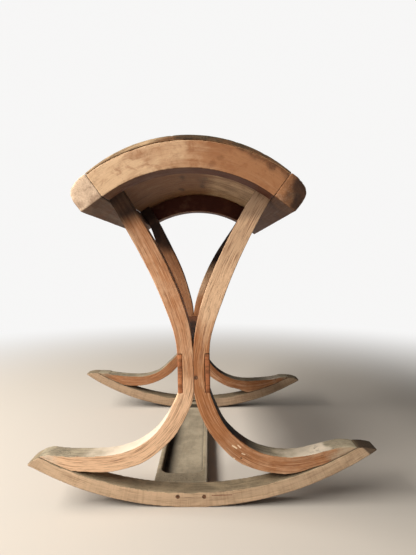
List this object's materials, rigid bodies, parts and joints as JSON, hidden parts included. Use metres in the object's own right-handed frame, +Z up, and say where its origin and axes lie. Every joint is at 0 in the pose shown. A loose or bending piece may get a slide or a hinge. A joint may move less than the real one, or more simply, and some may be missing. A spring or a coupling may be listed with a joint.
{
  "type": "saddle rack",
  "caption": "Free-standing wooden saddle rack: arched seat on two hourglass leg frames with rockers, tied by a forked waist stretcher and a carved floor tray.",
  "frame": {"origin": "on the floor, under the middle of the rack, at the bottom centre of its box", "axes": "+Z up, +Y along the seat from the front end to the rear end, +X across the seat to the right as seen from the front end"},
  "size_m": [0.5536, 0.541, 0.5383],
  "materials": {
    "seat_panel_wood": "dark worn hardwood, dull wax",
    "rib_wood": "pale mottled hardwood, bare and worn",
    "rail_wood": "tan hardwood with dark end grain, hand polished",
    "leg_wood": "orange-brown open-pored hardwood, bare",
    "rocker_wood": "greyish tan hardwood, weathered on top",
    "stretcher_wood": "brown hardwood, bare",
    "tray_wood": "grey-olive weathered wood",
    "dowel_wood": "plain hardwood dowel",
    "nail_iron": "dark rusted iron"
  },
  "bodies": {
    "root": {"seat_panel": "seat_panel_wood", "front_arch_rib": "rib_wood", "rear_arch_rib": "rib_wood", "left_side_rail": "rail_wood", "right_side_rail": "rail_wood", "front_left_leg": "leg_wood", "front_right_leg": "leg_wood", "rear_left_leg": "leg_wood", "rear_right_leg": "leg_wood", "front_rocker": "rocker_wood", "rear_rocker": "rocker_wood", "waist_stretcher": "stretcher_wood", "bottom_tray": "tray_wood", "front_leg_dowels": "dowel_wood", "front_rail_dowels": "dowel_wood", "front_waist_peg": "dowel_wood", "front_waist_nail": "nail_iron", "front_tray_nails": "nail_iron", "front_foot_nails": "nail_iron", "front_panel_pins": "nail_iron", "rear_leg_dowels": "dowel_wood", "rear_rail_dowels": "dowel_wood", "rear_waist_peg": "dowel_wood", "rear_waist_nail": "nail_iron", "rear_tray_nails": "nail_iron", "rear_foot_nails": "nail_iron", "rear_panel_pins": "nail_iron"}
  },
  "joints": []
}
